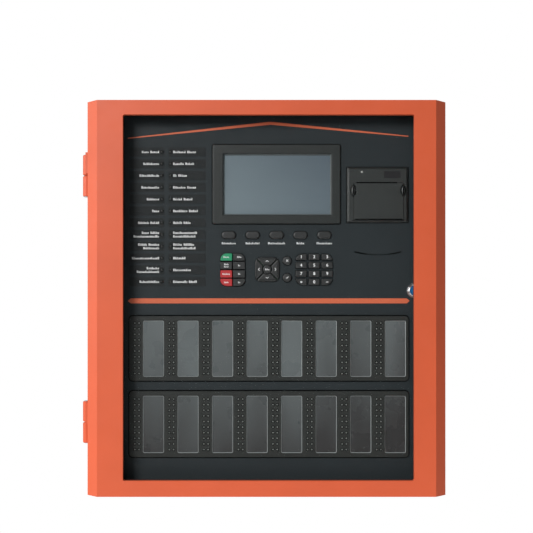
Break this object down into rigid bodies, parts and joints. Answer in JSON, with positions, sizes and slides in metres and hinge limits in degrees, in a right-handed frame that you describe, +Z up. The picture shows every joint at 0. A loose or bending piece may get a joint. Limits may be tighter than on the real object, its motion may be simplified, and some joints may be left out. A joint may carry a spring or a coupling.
{
  "type": "fire alarm control panel",
  "caption": "Wall-mounted alarm control cabinet with a windowed orange door, a dark control panel with display, keypad, lights and printer, and a wired rear box.",
  "frame": {"origin": "centre of the wall-hole pattern on the wall plane, at mid-height", "axes": "X to the right seen from the front, +Y into the wall so that the front faces -Y, +Z up"},
  "size_m": [0.4848, 0.15, 0.5215],
  "materials": {
    "orange_paint": "powder coat, semi-gloss",
    "black_paint": "fine powder coat, matte",
    "dark_plastic": "fine texture",
    "key_dark": "satin",
    "key_green": "satin",
    "key_red": "satin",
    "clear_acrylic": "clear",
    "display_glass": "satin glass, off",
    "label_window": "glossy clear cover on dark film",
    "led_lens": "unlit lens",
    "circuit_board": "solder mask",
    "terminal_green": "moulded",
    "battery_case": "moulded",
    "zinc_steel": "zinc plated",
    "chrome": "polished",
    "plug_blue": "anodised blue",
    "black_rubber": "moulded",
    "magnet_black": "moulded",
    "thermal_paper": "smooth"
  },
  "bodies": {
    "cabinet": {"cabinet": "orange_paint", "cabinet_hinge_leaves": "orange_paint", "cable_grommets": "black_rubber", "main_board": "circuit_board", "terminal_blocks": "terminal_green", "power_supply": "zinc_steel", "batteries": "battery_case", "board_standoffs": "zinc_steel", "inner_hinge_brackets": "zinc_steel", "door_catches": "magnet_black"},
    "door": {"door_frame": "orange_paint", "door_window": "clear_acrylic", "door_hinge_leaves": "orange_paint"},
    "control_panel": {"inner_panel": "black_paint", "lcd_bezel": "dark_plastic", "lcd_screen": "display_glass", "panel_boards": "circuit_board", "status_leds": "led_lens", "zone_plates": "dark_plastic", "zone_leds": "led_lens", "zone_label_windows": "label_window", "printer_housing": "dark_plastic", "buzzer": "magnet_black", "lock_body": "chrome"},
    "printer_cover": {"printer_door": "dark_plastic"},
    "platen": {"printer_platen": "black_rubber"},
    "paper": {"paper_roll": "thermal_paper"},
    "lock_turn_piece": {"lock_plug": "plug_blue"},
    "soft_key_1_body": {"soft_key_1": "key_dark"},
    "soft_key_2_body": {"soft_key_2": "key_dark"},
    "soft_key_3_body": {"soft_key_3": "key_dark"},
    "soft_key_4_body": {"soft_key_4": "key_dark"},
    "soft_key_5_body": {"soft_key_5": "key_dark"},
    "function_key_1_body": {"function_key_1": "key_green"},
    "function_key_2_body": {"function_key_2": "key_dark"},
    "function_key_3_body": {"function_key_3": "key_dark"},
    "function_key_4_body": {"function_key_4": "key_dark"},
    "function_key_5_body": {"function_key_5": "key_red"},
    "function_key_6_body": {"function_key_6": "key_dark"},
    "function_key_7_body": {"function_key_7": "key_red"},
    "function_key_8_body": {"function_key_8": "key_dark"},
    "arrow_key_up_body": {"arrow_key_up": "key_dark"},
    "arrow_key_right_body": {"arrow_key_right": "key_dark"},
    "arrow_key_down_body": {"arrow_key_down": "key_dark"},
    "arrow_key_left_body": {"arrow_key_left": "key_dark"},
    "enter_key_body": {"enter_key": "key_dark"},
    "cancel_key_body": {"cancel_key": "key_dark"},
    "confirm_key_body": {"confirm_key": "key_dark"},
    "digit_key_1_body": {"digit_key_1": "key_dark"},
    "digit_key_2_body": {"digit_key_2": "key_dark"},
    "digit_key_3_body": {"digit_key_3": "key_dark"},
    "digit_key_4_body": {"digit_key_4": "key_dark"},
    "digit_key_5_body": {"digit_key_5": "key_dark"},
    "digit_key_6_body": {"digit_key_6": "key_dark"},
    "digit_key_7_body": {"digit_key_7": "key_dark"},
    "digit_key_8_body": {"digit_key_8": "key_dark"},
    "digit_key_9_body": {"digit_key_9": "key_dark"},
    "star_key_body": {"star_key": "key_dark"},
    "digit_key_0_body": {"digit_key_0": "key_dark"},
    "dash_key_body": {"dash_key": "key_dark"}
  },
  "joints": [
    {"name": "door_hinge", "type": "hinge", "parent": "cabinet", "child": "door", "pos_m": [-0.2426, -0.109, 0], "axis": [0, 0, -1], "range_deg": [0, 120]},
    {"name": "inner_panel_hinge", "type": "hinge", "parent": "cabinet", "child": "control_panel", "pos_m": [-0.209, -0.1152, 0], "axis": [0, 0, -1], "range_deg": [0, 90]},
    {"name": "printer_cover_hinge", "type": "hinge", "parent": "control_panel", "child": "printer_cover", "pos_m": [0.14955, -0.1242, 0.1067], "axis": [1, 0, 0], "range_deg": [0, 80]},
    {"name": "platen_spin", "type": "hinge", "parent": "printer_cover", "child": "platen", "pos_m": [0.14955, -0.118, 0.1475], "axis": [1, 0, 0], "continuous": true},
    {"name": "paper_roll_spin", "type": "hinge", "parent": "control_panel", "child": "paper", "pos_m": [0.14955, -0.09, 0.13], "axis": [1, 0, 0], "continuous": true},
    {"name": "lock_turn", "type": "hinge", "parent": "control_panel", "child": "lock_turn_piece", "pos_m": [0.1988, -0.115, 0.0109], "axis": [0, 1, 0], "range_deg": [0, 90]},
    {"name": "soft_key_1_press", "type": "slide", "parent": "control_panel", "child": "soft_key_1_body", "axis": [0, 1, 0], "range_m": [0, 0.001], "stiffness_N_per_m": 300},
    {"name": "soft_key_2_press", "type": "slide", "parent": "control_panel", "child": "soft_key_2_body", "axis": [0, 1, 0], "range_m": [0, 0.001], "stiffness_N_per_m": 300},
    {"name": "soft_key_3_press", "type": "slide", "parent": "control_panel", "child": "soft_key_3_body", "axis": [0, 1, 0], "range_m": [0, 0.001], "stiffness_N_per_m": 300},
    {"name": "soft_key_4_press", "type": "slide", "parent": "control_panel", "child": "soft_key_4_body", "axis": [0, 1, 0], "range_m": [0, 0.001], "stiffness_N_per_m": 300},
    {"name": "soft_key_5_press", "type": "slide", "parent": "control_panel", "child": "soft_key_5_body", "axis": [0, 1, 0], "range_m": [0, 0.001], "stiffness_N_per_m": 300},
    {"name": "function_key_1_press", "type": "slide", "parent": "control_panel", "child": "function_key_1_body", "axis": [0, 1, 0], "range_m": [0, 0.001], "stiffness_N_per_m": 300},
    {"name": "function_key_2_press", "type": "slide", "parent": "control_panel", "child": "function_key_2_body", "axis": [0, 1, 0], "range_m": [0, 0.001], "stiffness_N_per_m": 300},
    {"name": "function_key_3_press", "type": "slide", "parent": "control_panel", "child": "function_key_3_body", "axis": [0, 1, 0], "range_m": [0, 0.001], "stiffness_N_per_m": 300},
    {"name": "function_key_4_press", "type": "slide", "parent": "control_panel", "child": "function_key_4_body", "axis": [0, 1, 0], "range_m": [0, 0.001], "stiffness_N_per_m": 300},
    {"name": "function_key_5_press", "type": "slide", "parent": "control_panel", "child": "function_key_5_body", "axis": [0, 1, 0], "range_m": [0, 0.001], "stiffness_N_per_m": 300},
    {"name": "function_key_6_press", "type": "slide", "parent": "control_panel", "child": "function_key_6_body", "axis": [0, 1, 0], "range_m": [0, 0.001], "stiffness_N_per_m": 300},
    {"name": "function_key_7_press", "type": "slide", "parent": "control_panel", "child": "function_key_7_body", "axis": [0, 1, 0], "range_m": [0, 0.001], "stiffness_N_per_m": 300},
    {"name": "function_key_8_press", "type": "slide", "parent": "control_panel", "child": "function_key_8_body", "axis": [0, 1, 0], "range_m": [0, 0.001], "stiffness_N_per_m": 300},
    {"name": "arrow_key_up_press", "type": "slide", "parent": "control_panel", "child": "arrow_key_up_body", "axis": [0, 1, 0], "range_m": [0, 0.001], "stiffness_N_per_m": 300},
    {"name": "arrow_key_right_press", "type": "slide", "parent": "control_panel", "child": "arrow_key_right_body", "axis": [0, 1, 0], "range_m": [0, 0.001], "stiffness_N_per_m": 300},
    {"name": "arrow_key_down_press", "type": "slide", "parent": "control_panel", "child": "arrow_key_down_body", "axis": [0, 1, 0], "range_m": [0, 0.001], "stiffness_N_per_m": 300},
    {"name": "arrow_key_left_press", "type": "slide", "parent": "control_panel", "child": "arrow_key_left_body", "axis": [0, 1, 0], "range_m": [0, 0.001], "stiffness_N_per_m": 300},
    {"name": "enter_key_press", "type": "slide", "parent": "control_panel", "child": "enter_key_body", "axis": [0, 1, 0], "range_m": [0, 0.001], "stiffness_N_per_m": 300},
    {"name": "cancel_key_press", "type": "slide", "parent": "control_panel", "child": "cancel_key_body", "axis": [0, 1, 0], "range_m": [0, 0.001], "stiffness_N_per_m": 300},
    {"name": "confirm_key_press", "type": "slide", "parent": "control_panel", "child": "confirm_key_body", "axis": [0, 1, 0], "range_m": [0, 0.001], "stiffness_N_per_m": 300},
    {"name": "digit_key_1_press", "type": "slide", "parent": "control_panel", "child": "digit_key_1_body", "axis": [0, 1, 0], "range_m": [0, 0.001], "stiffness_N_per_m": 300},
    {"name": "digit_key_2_press", "type": "slide", "parent": "control_panel", "child": "digit_key_2_body", "axis": [0, 1, 0], "range_m": [0, 0.001], "stiffness_N_per_m": 300},
    {"name": "digit_key_3_press", "type": "slide", "parent": "control_panel", "child": "digit_key_3_body", "axis": [0, 1, 0], "range_m": [0, 0.001], "stiffness_N_per_m": 300},
    {"name": "digit_key_4_press", "type": "slide", "parent": "control_panel", "child": "digit_key_4_body", "axis": [0, 1, 0], "range_m": [0, 0.001], "stiffness_N_per_m": 300},
    {"name": "digit_key_5_press", "type": "slide", "parent": "control_panel", "child": "digit_key_5_body", "axis": [0, 1, 0], "range_m": [0, 0.001], "stiffness_N_per_m": 300},
    {"name": "digit_key_6_press", "type": "slide", "parent": "control_panel", "child": "digit_key_6_body", "axis": [0, 1, 0], "range_m": [0, 0.001], "stiffness_N_per_m": 300},
    {"name": "digit_key_7_press", "type": "slide", "parent": "control_panel", "child": "digit_key_7_body", "axis": [0, 1, 0], "range_m": [0, 0.001], "stiffness_N_per_m": 300},
    {"name": "digit_key_8_press", "type": "slide", "parent": "control_panel", "child": "digit_key_8_body", "axis": [0, 1, 0], "range_m": [0, 0.001], "stiffness_N_per_m": 300},
    {"name": "digit_key_9_press", "type": "slide", "parent": "control_panel", "child": "digit_key_9_body", "axis": [0, 1, 0], "range_m": [0, 0.001], "stiffness_N_per_m": 300},
    {"name": "star_key_press", "type": "slide", "parent": "control_panel", "child": "star_key_body", "axis": [0, 1, 0], "range_m": [0, 0.001], "stiffness_N_per_m": 300},
    {"name": "digit_key_0_press", "type": "slide", "parent": "control_panel", "child": "digit_key_0_body", "axis": [0, 1, 0], "range_m": [0, 0.001], "stiffness_N_per_m": 300},
    {"name": "dash_key_press", "type": "slide", "parent": "control_panel", "child": "dash_key_body", "axis": [0, 1, 0], "range_m": [0, 0.001], "stiffness_N_per_m": 300}
  ],
  "couplings": [
    {"joint": "inner_panel_hinge", "follows": "door_hinge", "ratio": 0.75},
    {"joint": "printer_cover_hinge", "follows": "door_hinge", "ratio": 0.6666}
  ]
}
